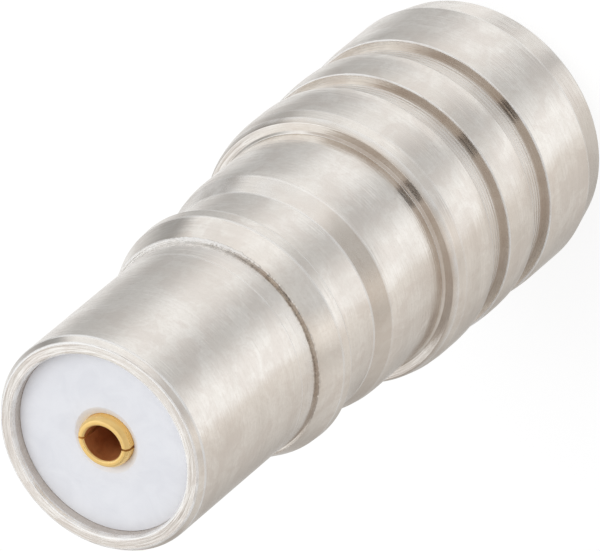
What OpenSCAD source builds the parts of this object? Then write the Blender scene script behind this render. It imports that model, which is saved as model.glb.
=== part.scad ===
// Push-on coaxial dummy load: a turned plug body with a slotted centre socket,
// a film rod resistor inside, and a ribbed rear cap that earths the resistor.
// The part stands on its rear face. Heights run up the axis to the socket's rim.

/* [Plug barrel] */
// Outside diameter of the barrel
barrel_d = 5; // [4.8:0.05:5.3]
// Length of the barrel, from the rim to the collar's shoulder
barrel_l = 4.7; // [4:0.1:6]
// Bore that takes the insulator
bore_d = 4.22; // [3.9:0.02:4.4]
// Radial width of the lead-in chamfer on the rim
rim_chamfer_r = 0.1; // [0.05:0.01:0.15]
// Length of the lead-in chamfer on the rim
rim_chamfer_l = 0.17; // [0.08:0.01:0.4]
// Length of the slight flare in front of the shoulder
flare_l = 0.6; // [0.2:0.05:1]
// Radial rise of the flare at the shoulder
flare_r = 0.03; // [0.01:0.01:0.05]

/* [Snap collar] */
// Height of the shoulder over the barrel
shoulder_h = 0.1; // [0.05:0.01:0.18]
// Diameter of the collar
collar_d = 5.68; // [5.5:0.02:6]
// Length of the cone that spreads the mating spring
collar_cone_l = 0.63; // [0.4:0.01:1]
// Length of the crest behind the cone
crest_l = 0.31; // [0.2:0.01:0.6]
// Radial rise along the crest
crest_r = 0.04; // [0.02:0.01:0.08]
// Diameter of the catch groove behind the collar
catch_d = 5.3; // [5:0.05:5.45]
// Length of the catch groove's floor
catch_l = 1.24; // [0.8:0.02:1.8]
// Length of the ramp from the catch groove up to the body
catch_ramp_l = 0.52; // [0.3:0.02:0.9]

/* [Body] */
// Diameter of the body in front of the rear cap
body_d = 5.7; // [5.5:0.02:6]
// Length of the body in front of the rear cap
body_l = 2.05; // [1.2:0.01:3]
// Length of the body's spigot in the rear cap
joint_l = 1.2; // [0.8:0.05:1.6]
// Bore behind the insulator, where the line is air
line_d = 2.92; // [2.6:0.02:3.2]
// Bore at the body's rear end
line_mid_d = 2.5; // [2.2:0.02:2.7]
// Bore in the cap at the earthed end of the resistor
line_end_d = 1.9; // [1.7:0.02:2.1]

/* [Rear cap] */
// Outside diameter of the cap's rings
cap_d = 6.44; // [6.2:0.02:6.8]
// Wall between the rings' outside and the mouth that takes the body
cap_wall = 0.4; // [0.34:0.01:0.6]
// Width of the bead round the mouth, at its foot
lip_w = 0.08; // [0.07:0.01:0.24]
// Height of the bead, which slopes at 45 degrees
lip_l = 0.05; // [0.03:0.01:0.06]
// Radial width of the front ring's lead chamfer
lead_r = 0.065; // [0.03:0.005:0.08]
// Length of the front ring's lead chamfer
lead_l = 0.12; // [0.08:0.01:0.3]
// Radial drop of the front ring's rounded nose
nose_r = 0.075; // [0.03:0.005:0.1]
// Length of the rounded nose
nose_l = 0.55; // [0.3:0.05:0.65]
// Length of the front ring
ring_1_l = 1.59; // [1.4:0.01:2.4]
// Length of the front grip groove
grip_1_l = 0.68; // [0.4:0.01:1]
// Length of the second ring
ring_2_l = 1.08; // [0.6:0.01:1.6]
// Length of the second grip groove
grip_2_l = 0.7; // [0.4:0.01:1]
// Depth of the grip grooves
grip_depth = 0.175; // [0.1:0.005:0.32]
// Length of the plain tail
tail_l = 1.65; // [1.2:0.01:2.6]
// Length of the tapered rear end
tail_cone_l = 0.8; // [0.4:0.05:1.2]
// Radial width of the tapered rear end
tail_cone_r = 0.18; // [0.06:0.01:0.4]
// Thickness of metal behind the resistor's socket
cap_floor = 2.2; // [1.6:0.05:3]

/* [Centre contact] */
// Outside diameter of the contact
contact_d = 1.27; // [1.15:0.01:1.5]
// Bore of the slotted socket
socket_d = 0.92; // [0.8:0.01:1]
// Depth of the socket
socket_depth = 2.6; // [2:0.05:3]
// Depth of the contact's tip below the rim
tip_set_back = 0.13; // [0.1:0.01:0.25]
// Radius of the contact's rounded tip
tip_r = 0.07; // [0.04:0.01:0.08]
// Width of the slit that parts the two spring fingers
slit_w = 0.05; // [0.03:0.01:0.15]
// Length of the slit
slit_l = 2.2; // [1.6:0.05:2.5]
// Direction of the slit round the axis
slit_angle = 0; // [0:5:175]
// Diameter of the flange that stops against the insulator
flange_d = 1.9; // [1.7:0.05:2.3]
// Length of the flange
flange_l = 0.3; // [0.2:0.05:0.6]

/* [Insulator] */
// Depth of the insulator's face below the rim
bead_set_back = 0.3; // [0.26:0.01:0.5]
// Length of the insulator
bead_l = 3.2; // [2.6:0.1:4]

/* [Resistor] */
// Diameter of the ceramic rod
rod_d = 1.2; // [1:0.02:1.3]
// Length of the ceramic rod
rod_l = 6.1; // [5:0.1:7]
// Wall of the end ferrules
ferrule_wall = 0.1; // [0.06:0.01:0.14]
// Floor of the end ferrules
ferrule_floor = 0.15; // [0.1:0.01:0.3]
// Length of rod that each ferrule covers
ferrule_grip = 0.85; // [0.5:0.05:1.2]
// Diameter of the pin on the front ferrule
pin_d = 0.6; // [0.4:0.02:0.8]
// Length of the pin on the front ferrule
pin_l = 1; // [0.6:0.05:1.4]

/* [Fits] */
// Radial room in pressed and soldered seats
seat_gap = 0.01; // [0.005:0.005:0.02]
// Room past the end of the pin in its hole
pin_end_gap = 0.1; // [0.05:0.05:0.3]
// Break on the turned edges
edge_break = 0.03; // [0.01:0.01:0.05]
// Radial drop of the eased ends of the body and the rings
ease_r = 0.04; // [0.02:0.01:0.05]
// Length of the eased ends
ease_l = 0.4; // [0.2:0.05:0.45]

/* [Hidden] */

plating = "#c9c4bd";
gold = "#e0b45e";
ptfe = "#f2f4fa";
ceramic = "#7a6a58";
tin = "#b5b6b8";

arc_steps = 6;
ease_steps = 2;
ease_share = 0.45;
drill_point = 31;

// Heights of the cap's edges, from its rear face up
z_tail = tail_cone_l;
z_grip_2 = z_tail + tail_l;
z_ring_2 = z_grip_2 + grip_2_l;
z_grip_1 = z_ring_2 + ring_2_l;
z_ring_1 = z_grip_1 + grip_1_l;
z_face = z_ring_1 + ring_1_l;
z_lip = z_face + lip_l;

// Heights of the body's edges
z_seat = z_lip - joint_l;
z_ramp = z_lip + body_l;
z_catch = z_ramp + catch_ramp_l;
z_land = z_catch + catch_l;
z_cone = z_land + crest_l;
z_shoulder = z_cone + collar_cone_l;
z_rim = z_shoulder + barrel_l;

// The resistor stands on the floor of its socket, and carries the contact
ferrule_l = ferrule_floor + ferrule_grip;
ferrule_d = rod_d + 2 * (seat_gap + ferrule_wall);
z_rod = cap_floor + ferrule_floor;
z_rod_top = z_rod + rod_l;
z_contact = z_rod_top + ferrule_floor;
z_tip = z_rim - tip_set_back;
z_socket = z_tip - socket_depth;
z_bead_top = z_rim - bead_set_back;
z_bead = z_bead_top - bead_l;

// Sizes that follow the cap's outside
mouth_d = cap_d - 2 * cap_wall;
lip_d = mouth_d + 2 * lip_w;
grip_d = cap_d - 2 * grip_depth;
rear_d = cap_d - 2 * tail_cone_r;

// Seats take the size of what sits in them, or the other way round
spigot_d = mouth_d - 2 * seat_gap;
bead_d = bore_d - 2 * seat_gap;
bead_hole_d = contact_d + 2 * seat_gap;
pin_hole_d = pin_d + 2 * seat_gap;
pin_hole_l = pin_l + pin_end_gap;
ferrule_seat_d = ferrule_d + 2 * seat_gap;

// A turned solid from its half profile of [radius, height] points
module turned(profile) {
    rotate_extrude($fn = 96) polygon(profile);
}

// Profile of a land from z0 up to z1, with both edges broken
function land(d, z0, z1) = [
    [d / 2 - edge_break, z0],
    [d / 2, z0 + edge_break],
    [d / 2, z1 - edge_break],
    [d / 2 - edge_break, z1]
];

// Length of an eased end, limited by the land that it eases
function ease_on(land_l) = min(ease_l, ease_share * land_l);

// Eased lower end of a land, from its edge at height z up to the full radius
function eased_low(d, z, drop, length) = [
    for (i = [0 : ease_steps])
        let (share = i / ease_steps)
            [d / 2 - drop * pow(1 - share, 2), z + length * share]
];

// Eased upper end of a land, from the full radius up to its edge at height z
function eased_high(d, z, drop, length) = [
    for (i = [0 : ease_steps])
        let (share = i / ease_steps)
            [d / 2 - drop * pow(share, 2), z - length * (1 - share)]
];

// Points of a quarter round, from angle a0 to a1 about [r, z]
function quarter(r, z, radius, a0, a1) = [
    for (i = [0 : arc_steps])
        let (a = a0 + (a1 - a0) * i / arc_steps)
            [r + radius * cos(a), z + radius * sin(a)]
];

// Outer conductor: barrel, snap collar, catch groove, body and spigot in one turning
module front_body() {
    barrel_r = barrel_d / 2;
    outside = concat(
        [[spigot_d / 2 - edge_break, z_seat], [spigot_d / 2, z_seat + edge_break]],
        [[spigot_d / 2, z_lip], [body_d / 2, z_lip]],
        eased_high(body_d, z_ramp, ease_r, ease_on(body_l)),
        [[catch_d / 2, z_catch], [catch_d / 2, z_land]],
        [[collar_d / 2 - edge_break, z_land], [collar_d / 2, z_land + edge_break]],
        [[collar_d / 2 - crest_r, z_cone], [barrel_r + shoulder_h, z_shoulder]],
        [[barrel_r + flare_r, z_shoulder], [barrel_r, z_shoulder + flare_l]],
        [[barrel_r, z_rim - rim_chamfer_l], [barrel_r - rim_chamfer_r, z_rim]]
    );
    inside = [
        [bore_d / 2 + edge_break, z_rim],
        [bore_d / 2, z_rim - edge_break],
        [bore_d / 2, z_bead],
        [line_d / 2, z_bead],
        [line_mid_d / 2, z_seat]
    ];
    color(plating) turned(concat(outside, inside));
}

// Cap: closed at the rear, with two grip grooves, the mouth for the body,
// the narrowing line bore and the socket that earths the resistor
module rear_cap() {
    outside = concat(
        [[0, 0], [rear_d / 2 - edge_break, 0], [rear_d / 2, edge_break]],
        [[cap_d / 2, z_tail]],
        eased_high(cap_d, z_grip_2, ease_r, ease_on(tail_l)),
        [[grip_d / 2, z_grip_2], [grip_d / 2, z_ring_2]],
        eased_low(cap_d, z_ring_2, ease_r, ease_on(ring_2_l)),
        eased_high(cap_d, z_grip_1, ease_r, ease_on(ring_2_l)),
        [[grip_d / 2, z_grip_1], [grip_d / 2, z_ring_1]],
        eased_low(cap_d, z_ring_1, ease_r, ease_on(ring_1_l)),
        eased_high(cap_d, z_face - lead_l, nose_r, nose_l),
        [[cap_d / 2 - nose_r - lead_r, z_face]],
        [[lip_d / 2, z_face], [lip_d / 2 - lip_l, z_lip]]
    );
    inside = [
        [mouth_d / 2, z_lip],
        [mouth_d / 2, z_seat],
        [line_mid_d / 2, z_seat],
        [line_end_d / 2, cap_floor + ferrule_l],
        [ferrule_seat_d / 2, cap_floor + ferrule_l],
        [ferrule_seat_d / 2, cap_floor],
        [0, cap_floor]
    ];
    color(plating) turned(concat(outside, inside));
}

// Bead that centres the contact, pressed in against the body's inner step
module insulator() {
    color(ptfe) turned([
        [bead_hole_d / 2, z_bead],
        [bead_d / 2, z_bead],
        [bead_d / 2, z_bead_top - edge_break],
        [bead_d / 2 - edge_break, z_bead_top],
        [bead_hole_d / 2, z_bead_top]
    ]);
}

// Contact: two spring fingers in front, a stop flange, and a solder hole behind
module centre_contact() {
    contact_r = contact_d / 2;
    socket_r = socket_d / 2;
    finger_wall = contact_r - socket_r;
    outer_round = min(tip_r, finger_wall / 2);
    inner_round = finger_wall - outer_round;
    outside = concat(
        [[pin_hole_d / 2, z_contact], [contact_r, z_contact]],
        [[contact_r, z_bead - flange_l], [flange_d / 2, z_bead - flange_l]],
        [[flange_d / 2, z_bead], [contact_r, z_bead]],
        quarter(contact_r - outer_round, z_tip - outer_round, outer_round, 0, 90)
    );
    inside = concat(
        quarter(socket_r + inner_round, z_tip - inner_round, inner_round, 90, 180),
        [[socket_r, z_socket], [0, z_socket - socket_r * tan(drill_point)]],
        [[0, z_contact + pin_hole_l], [pin_hole_d / 2, z_contact + pin_hole_l]]
    );
    color(gold) difference() {
        turned(concat(outside, inside));
        rotate(slit_angle)
            translate([-contact_d, -slit_w / 2, z_tip - slit_l])
                cube([2 * contact_d, slit_w, slit_l + tip_set_back]);
    }
}

// Ceramic rod that carries the resistive film
module resistor_rod() {
    color(ceramic) turned(concat([[0, z_rod]], land(rod_d, z_rod, z_rod_top), [[0, z_rod_top]]));
}

// Cup over one end of the rod, its floor at height 0 and its mouth up
module ferrule_cup() {
    inner_r = rod_d / 2 + seat_gap;
    turned([
        [0, 0],
        [ferrule_d / 2 - edge_break, 0],
        [ferrule_d / 2, edge_break],
        [ferrule_d / 2, ferrule_l],
        [inner_r, ferrule_l],
        [inner_r, ferrule_floor],
        [0, ferrule_floor]
    ]);
}

// Front ferrule: a cup turned mouth down, with the pin that goes into the contact
module front_ferrule() {
    color(tin) union() {
        translate([0, 0, z_contact]) mirror([0, 0, 1]) ferrule_cup();
        translate([0, 0, z_contact]) cylinder(d = pin_d, h = pin_l, $fn = 48);
    }
}

// Rear ferrule: the cup that sits in the cap's socket
module rear_ferrule() {
    color(tin) translate([0, 0, cap_floor]) ferrule_cup();
}

front_body();
rear_cap();
insulator();
centre_contact();
resistor_rod();
front_ferrule();
rear_ferrule();
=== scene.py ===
# %% [markdown]
# # A push-on coaxial dummy load
# This small plug closes a radio line: it pushes into a jack and turns what
# arrives into heat in a resistor rod inside. Almost all of it is lathe work, so
# the lesson shows how to turn a CAD model's sizes into smooth turned meshes,
# how to give plated brass its fine marks, and how to light bright metal.
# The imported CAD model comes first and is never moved: it is the ruler that
# every piece is measured from.

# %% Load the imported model
import bpy
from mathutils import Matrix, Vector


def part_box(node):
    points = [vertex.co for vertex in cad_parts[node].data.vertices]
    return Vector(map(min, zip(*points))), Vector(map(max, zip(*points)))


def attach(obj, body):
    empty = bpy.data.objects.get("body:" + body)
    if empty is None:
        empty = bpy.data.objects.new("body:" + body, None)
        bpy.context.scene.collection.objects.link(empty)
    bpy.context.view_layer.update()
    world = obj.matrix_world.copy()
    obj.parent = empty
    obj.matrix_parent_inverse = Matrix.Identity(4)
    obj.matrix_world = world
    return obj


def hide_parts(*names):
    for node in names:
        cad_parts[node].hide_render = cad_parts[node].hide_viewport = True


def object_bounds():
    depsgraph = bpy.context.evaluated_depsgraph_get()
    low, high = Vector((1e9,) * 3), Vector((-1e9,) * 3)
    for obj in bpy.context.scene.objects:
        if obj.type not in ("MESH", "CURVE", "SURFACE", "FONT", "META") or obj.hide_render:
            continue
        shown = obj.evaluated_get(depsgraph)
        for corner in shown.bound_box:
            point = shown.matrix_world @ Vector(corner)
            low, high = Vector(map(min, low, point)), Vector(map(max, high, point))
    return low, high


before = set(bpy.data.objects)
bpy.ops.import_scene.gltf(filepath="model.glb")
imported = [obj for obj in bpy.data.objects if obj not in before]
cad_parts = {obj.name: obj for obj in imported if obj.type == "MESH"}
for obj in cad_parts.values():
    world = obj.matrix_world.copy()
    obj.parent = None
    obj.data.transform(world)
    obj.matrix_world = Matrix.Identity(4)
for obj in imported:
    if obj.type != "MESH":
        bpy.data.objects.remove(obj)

for starter in ("Cube", "Light", "Camera"):
    if starter in bpy.data.objects:
        bpy.data.objects.remove(bpy.data.objects[starter])
cad_box = [list(corner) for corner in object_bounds()]
print("CAD nodes:", ", ".join(sorted(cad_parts)))
print("CAD box in mm:", [[round(1000 * c, 3) for c in corner] for corner in cad_box])

# %% [markdown]
# ## Reading the half profile of a turned part
# A turned part is one half profile swept round the axis. The CAD mesh of such a
# part always has a seam in the XZ plane, and the seam's edges are exactly that
# half profile. It could be typed in again as numbers, but then it would drift
# away from the CAD as soon as somebody changes a diameter. So the helper walks
# along the seam and keeps only the corners where the direction changes.

# %% Helper that walks along the seam
import math

import bmesh
from mathutils import Matrix, Vector, noise

MM = 0.001
# A point nearer than this to the axis, or to the plane of the seam, lies on it.
SEAM = 1e-8
SEAM_DIGITS = 8
# A corner nearer than this to the line between its neighbours is no corner.
STRAIGHT = 0.001 * MM


def off_line(a, b, c):
    """How far b lies from the straight line through a and c."""
    along = (c - a).normalized()
    return abs(along.x * (b - a).y - along.y * (b - a).x)


def half_profile(node):
    """Corners (radius, height) of a turned CAD node, from its top down the outside.
    A profile that is open at the axis is closed there."""
    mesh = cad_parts[node].data
    seam = {}
    for v in mesh.vertices:
        if abs(v.co.y) < SEAM and v.co.x > -SEAM:
            seam[v.index] = (round(v.co.x, SEAM_DIGITS), round(v.co.z, SEAM_DIGITS))
    links = {}
    for edge in mesh.edges:
        a, b = (seam.get(i) for i in edge.vertices)
        if a and b and a != b:
            links.setdefault(a, set()).add(b)
            links.setdefault(b, set()).add(a)
    ends = [p for p in links if len(links[p]) == 1]
    start = min(ends, key=lambda p: p[0]) if ends else max(links, key=lambda p: (p[1], p[0]))
    path, here = [start], max(links[start])
    while here and here != start:
        path.append(here)
        onward = [p for p in links[here] if p not in path[-2:]]
        here = onward[0] if onward else None
    if ends and path[0][0] > SEAM:
        path.insert(0, (0.0, path[0][1]))
    if ends and path[-1][0] > SEAM:
        path.append((0.0, path[-1][1]))
    points = [Vector(p) for p in path]
    kept = []
    for i, p in enumerate(points):
        if off_line(points[i - 1], p, points[(i + 1) % len(points)]) > STRAIGHT:
            kept.append(p)
    return kept


body_profile = half_profile("front_body")
cap_profile = half_profile("rear_cap")
bead_profile = half_profile("insulator")
print("corners:", len(body_profile), "body,", len(cap_profile), "cap,", len(bead_profile), "bead")

# %% [markdown]
# ## Breaking the corners
# No turned edge is perfectly sharp, and a bright thin line along each edge is
# what makes metal look real. A bevel modifier could do it, but it would also
# treat the facets round the axis. Here each corner of the half profile becomes
# a small arc before anything is swept. A holding point just beside each arc
# keeps the smooth shading of the long flat stretches flat, and long stretches
# get points in between, so that values painted on them later can change along
# the way.

# %% Helpers for the points between the arcs
LONGEST = 0.2 * MM
HOLD_SHARE = 0.6
LONG_SIDE = 6


def beside(p, side, reach):
    """A holding point beside the arc at p, on a side that is long enough for one."""
    if side.length <= LONG_SIDE * reach:
        return []
    far = p + side.normalized() * (reach + HOLD_SHARE * reach)
    return [(far.x, far.y, 0.0, 0.0)]


def filled(outline):
    """The outline with points in between on every stretch longer than LONGEST."""
    out = []
    for one, two in zip(outline, outline[1:] + outline[:1]):
        out.append(one)
        a, b = Vector(one[:2]), Vector(two[:2])
        pieces = 1 if max(a.x, b.x) < SEAM else math.ceil((b - a).length / LONGEST)
        for k in range(1, pieces):
            out.append((*a.lerp(b, k / pieces), 0.0, 0.0))
    return out


print("points lie at most", round(LONGEST / MM, 3), "mm apart")

# %% Helper that rounds the corners of a profile
ARC_STEPS = 4
# Shares of the full size that an arc gets, and the most it takes of a side.
ROOT_SHARE = 0.25
PLAIN_SHARE = 0.5
SIDE_SHARE = 0.35
LEAST_TURN = math.radians(7)
FULL_TURN = math.radians(28)
SHARP_TURN = math.radians(40)


def broken_edges(corners, size, plain=()):
    """Points (radius, height, edge, recess) with an arc at each corner.
    edge is up to 1 on a corner that catches light: an outward one, or an inward
    one that turns little. recess is 1 on a sharp inward one, which gets a smaller
    arc. So do plain corners, given by their numbers, which get no edge."""
    area = sum(a.x * b.y - b.x * a.y for a, b in zip(corners, corners[1:] + corners[:1]))
    out = []
    count = len(corners)
    for i, p in enumerate(corners):
        before, after = corners[i - 1], corners[(i + 1) % count]
        back, on = before - p, after - p
        turn = math.pi - back.angle(on)
        if p.x < SEAM or turn < LEAST_TURN:
            out.append((p.x, p.y, 0.0, 0.0))
            continue
        outward = (back.x * on.y - back.y * on.x) * area < 0
        recess = float(not outward and turn > SHARP_TURN)
        share = ROOT_SHARE if recess else PLAIN_SHARE if i in plain else 1.0
        reach = min(share * size, SIDE_SHARE * back.length, SIDE_SHARE * on.length)
        a, b = p + back.normalized() * reach, p + on.normalized() * reach
        edge = 0.0 if recess or i in plain else min(1.0, turn / FULL_TURN)
        out += beside(p, back, reach)
        for k in range(ARC_STEPS + 1):
            t = k / ARC_STEPS
            q = a.lerp(p, t).lerp(p.lerp(b, t), t)
            out.append((q.x, q.y, edge, recess))
        out += beside(p, on, reach)
    return filled(out)


edge_break = 0.024 * MM
print("body outline has", len(broken_edges(body_profile, edge_break)), "points")

# %% [markdown]
# ## Sweeping a profile round the axis
# Blender's Screw modifier or Spin tool would sweep the outline too. Building the
# rings directly is as short, closes the mesh exactly where the last ring meets
# the first, and lets each point carry its edge and recess values along, which
# the materials read later as attributes. A third value fades away from every
# sharp inward corner, and the materials darken the colour with it as painted
# shade. A fourth, dull, starts at nothing and is painted on later.

# %% Helper that keeps a mesh with its painted values
PAINTED = ("edge", "recess", "haze", "dull")


def painted_piece(bm, name, **values):
    """An object from a bmesh, with each painted value as an attribute of its points.
    A value that is not given stays at 0."""
    bmesh.ops.recalc_face_normals(bm, faces=bm.faces)
    mesh = bpy.data.meshes.new(name)
    bm.to_mesh(mesh)
    bm.free()
    for key in PAINTED:
        attribute = mesh.attributes.new(key, "FLOAT", "POINT")
        if key in values:
            attribute.data.foreach_set("value", values[key])
    piece = bpy.data.objects.new(name, mesh)
    bpy.context.collection.objects.link(piece)
    print(name, "has", len(mesh.vertices), "points and", len(mesh.polygons), "faces")
    return piece


print("points carry:", ", ".join(PAINTED))

# %% Helper that turns a closed mesh
ROUND_STEPS = 240
# How far the painted shade fades out from a sharp inward corner.
SHADE_FADE_REACH = 0.22 * MM


def turned(name, outline, steps=ROUND_STEPS):
    """A closed turned piece with smooth faces. Points on the axis become single poles."""
    bm = bmesh.new()
    rings, edges, recesses, hazes = [], [], [], []
    roots = [Vector(p[:2]) for p in outline if p[3]]
    for radius, height, edge, recess in outline:
        spots = 1 if radius < SEAM else steps
        nearest = min(((root - Vector((radius, height))).length for root in roots), default=math.inf)
        hazes += [math.exp(-nearest / SHADE_FADE_REACH)] * spots
        ring = []
        for k in range(spots):
            angle = math.tau * k / steps
            ring.append(bm.verts.new((radius * math.cos(angle), radius * math.sin(angle), height)))
        rings.append(ring)
        edges += [edge] * spots
        recesses += [recess] * spots
    for low, high in zip(rings, rings[1:] + rings[:1]):
        if len(low) == len(high) == 1:
            continue
        for k in range(steps):
            n = (k + 1) % steps
            corners = [low[k % len(low)], low[n % len(low)], high[n % len(high)], high[k % len(high)]]
            bm.faces.new(list(dict.fromkeys(corners)))
    piece = painted_piece(bm, name, edge=edges, recess=recesses, haze=hazes)
    piece.data.polygons.foreach_set("use_smooth", [True] * len(piece.data.polygons))
    return piece


print("each ring has", ROUND_STEPS, "points")

# %% [markdown]
# ## Fine lines left by the tool
# On the real part the floors of the grip grooves show a few distinct tool lines,
# and each ring has one faint line where two cuts met. Bump alone would vanish
# from an exported mesh, so the lines are cut into the profile: each is a shallow
# V between two corners.

# %% Helper that scores lines into a straight stretch
def scored(a, b, places, depth, width):
    """Extra corners between a and b: one shallow V at each place from 0 to 1."""
    along = (b - a).normalized()
    inward = Vector((-1.0, 0.0))
    extra = []
    for place in places:
        middle = a.lerp(b, place)
        extra += [middle - along * width / 2, middle + inward * depth, middle + along * width / 2]
    return extra


def with_lines(corners, index, places, depth, width):
    """The corners with lines scored between corner index and the next one."""
    a, b = corners[index], corners[index + 1]
    return corners[: index + 1] + scored(a, b, places, depth, width) + corners[index + 1 :]


LINE_CORNERS = len(scored(body_profile[0], body_profile[1], (0.5,), STRAIGHT, STRAIGHT))
print("a scored line adds", LINE_CORNERS, "corners")

# %% [markdown]
# ## The front body
# This is the plug: rim, smooth barrel, a slight flare, the snap collar with its
# cone, the catch groove behind it, a ramp and the plain body that goes into the
# cap. Its outline comes straight from the CAD corners, but for two: the collar's
# crest is worn almost straight, so the corner in front of it moves out a little,
# and the bore's edge is worn back. Two fine lines run round the flare.

# %% Shape the front body's corners
# Corners of the profile, counted from the rim down the outside and up the bore.
RIM, FLARE_TOP, SHOULDER, CREST_FRONT, CREST, RAMP_TOP, RAMP_FOOT = 0, 2, 4, 5, 6, 9, 10
BORE_TOP = -2
CREST_FILL = 0.6
bore_wear = 0.045 * MM
FLARE_LINES = (0.05, 0.4)
flare_line_depth = 0.002 * MM
flare_line_width = 0.03 * MM

body_corners = list(body_profile)
crest_front, crest = body_profile[CREST_FRONT], body_profile[CREST]
body_corners[CREST_FRONT] = Vector((crest_front.lerp(crest, CREST_FILL).x, crest_front.y))
body_corners[BORE_TOP] = body_profile[BORE_TOP] - Vector((0.0, bore_wear))
body_corners = with_lines(body_corners, FLARE_TOP, FLARE_LINES, flare_line_depth, flare_line_width)
plain_corner = SHOULDER + LINE_CORNERS * len(FLARE_LINES)
print("the body's outline now has", len(body_corners), "corners")

# %% Turn the front body
body_piece = turned("plug_body", broken_edges(body_corners, edge_break, (plain_corner,)))
rim_height = body_profile[RIM].y
shoulder_radius, shoulder_height = body_profile[SHOULDER]
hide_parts("front_body")
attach(body_piece, "root")
print("shoulder at", round(shoulder_height / MM, 2), "mm, radius", round(shoulder_radius / MM, 2))

# %% [markdown]
# ## The burr at the shoulder
# On the shoulder's edge the tool left a ragged burr, much thicker on one side and
# hardly anything elsewhere. Where it is thick it is painted bright, a painted
# highlight on that side, and a stretch beside it is painted dark as shade. It is a
# thin closed ring whose section swells and shrinks with noise, and it sits on the
# edge between the shoulder and the cone.

# %% Where the burr's bright side and its painted shade lie
# Each span is two cosines of the angle from the middle: nothing up to the first
# and all of it from the second on.
BURR_SPAN = (0.55, 0.9)
SHADED_SPAN = (0.3, 0.75)


def level_direction(angle):
    """The direction at an angle round the axis."""
    return Vector((math.cos(angle), math.sin(angle), 0.0))


def ramped(value, low, high):
    """0 up to low, 1 from high on, and even in between."""
    return min(1.0, max(0.0, (value - low) / (high - low)))


burr_middle = level_direction(math.radians(118))
shaded_middle = level_direction(math.radians(40))


def burr_and_shade(around):
    """How much of the burr's thick side, painted bright as a highlight, and of its
    painted shade, lies in a level direction.
    """
    return ramped(around.dot(burr_middle), *BURR_SPAN), ramped(around.dot(shaded_middle), *SHADED_SPAN)


print("burr towards", [round(c, 2) for c in burr_middle], "shade", [round(c, 2) for c in shaded_middle])

# %% Make the ragged ring
BURR_SECTION = 6
BURR_FLATNESS = 0.7
# How fine the noise is for the thickness and for the lean, and where the lean's starts.
GRAIN_FINENESS = 45.0
LEAN_FINENESS = 25.0
LEAN_START = Vector((0.0, 0.0, 7.0))
LEAN_SHARE = 0.5
# Shares of the thickness: away from the side with painted shade, where it is thick
# at the least, and what the noise leaves and adds.
UNSHADED_SHARE = 0.3
PATCH_LEAST = 0.6
RAGGED_LEAST = 0.3
RAGGED_MORE = 1.4


def ragged_ring(name, radius, height, least, most, steps=2 * ROUND_STEPS):
    """A closed ring whose section shrinks and grows round the axis: most on the
    burr's thick side, least on the side with painted shade, and still less
    elsewhere. Its thick side carries a painted highlight, its shaded side painted shade."""
    bm = bmesh.new()
    rings, edges, recesses = [], [], []
    for k in range(steps):
        around = level_direction(math.tau * k / steps)
        patch, shaded_side = burr_and_shade(around)
        # Painted highlight on the thick side, painted shade on the shaded side.
        edges += [patch] * BURR_SECTION
        recesses += [shaded_side] * BURR_SECTION
        grain = 0.5 + 0.5 * noise.noise(around * GRAIN_FINENESS)
        thin = least * (UNSHADED_SHARE + (1 - UNSHADED_SHARE) * shaded_side) * (RAGGED_LEAST + RAGGED_MORE * grain)
        thick = thin + most * patch * (PATCH_LEAST + (1 - PATCH_LEAST) * grain)
        lean = noise.noise(around * LEAN_FINENESS + LEAN_START) * thick * LEAN_SHARE
        ring = []
        for j in range(BURR_SECTION):
            turn = math.tau * j / BURR_SECTION
            r = radius + thick * math.cos(turn) * BURR_FLATNESS
            z = height + lean + thick * math.sin(turn)
            ring.append(bm.verts.new((around.x * r, around.y * r, z)))
        rings.append(ring)
    for one, two in zip(rings, rings[1:] + rings[:1]):
        for j in range(BURR_SECTION):
            n = (j + 1) % BURR_SECTION
            bm.faces.new((one[j], one[n], two[n], two[j]))
    return painted_piece(bm, name, edge=edges, recess=recesses)


burr_set_in = 0.01 * MM
burr_least, burr_most = 0.033 * MM, 0.045 * MM
burr_radius = shoulder_radius - burr_set_in
burr_piece = ragged_ring("shoulder_burr", burr_radius, shoulder_height, burr_least, burr_most)
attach(burr_piece, "root")

# %% [markdown]
# ## Painted highlights and shade around the burr
# Where the burr is thick, the corner in front of it is painted bright and its
# painted shade is taken away, and the ramp further back gets a painted highlight
# on the same side. All round, a painted highlight fades out over the end of the
# barrel in front of the shoulder. All of it is kept as edge and recess values on
# the body's points, which is all that the finish needs.

# %% Paint the highlights and shade on the body
# A painted highlight band in front of the shoulder, and a painted highlight on the ramp.
FRONT_HIGHLIGHT_REACH = 0.5 * MM
FRONT_HIGHLIGHT = 0.6
RAMP_HIGHLIGHT = 0.5
edge_values = body_piece.data.attributes["edge"].data
recess_values = body_piece.data.attributes["recess"].data
ramp_top, ramp_foot = body_profile[RAMP_TOP], body_profile[RAMP_FOOT]
outside_from = body_profile[FLARE_TOP].x - edge_break
for v in body_piece.data.vertices:
    off_axis = math.hypot(v.co.x, v.co.y)
    in_front = v.co.z - shoulder_height
    if off_axis < outside_from:
        continue
    patch, shaded_side = burr_and_shade(Vector((v.co.x, v.co.y, 0.0)) / off_axis)
    # At the shoulder corner: painted highlight on the thick side, painted shade kept only on the shaded
    # side.
    if abs(in_front) < 2 * edge_break and off_axis < shoulder_radius + STRAIGHT:
        edge_values[v.index].value = max(edge_values[v.index].value, patch)
        recess_values[v.index].value *= shaded_side
    # Painted highlight, fading out towards the front.
    elif 0 < in_front < FRONT_HIGHLIGHT_REACH:
        edge_values[v.index].value = FRONT_HIGHLIGHT * (1 - in_front / FRONT_HIGHLIGHT_REACH)
    # Painted highlight on the ramp, on the burr's thick side.
    elif ramp_foot.y < v.co.z < ramp_top.y:
        edge_values[v.index].value = max(edge_values[v.index].value, RAMP_HIGHLIGHT * patch)
print("highlighted", round(FRONT_HIGHLIGHT_REACH / MM, 2), "mm in front of the shoulder")

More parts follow.
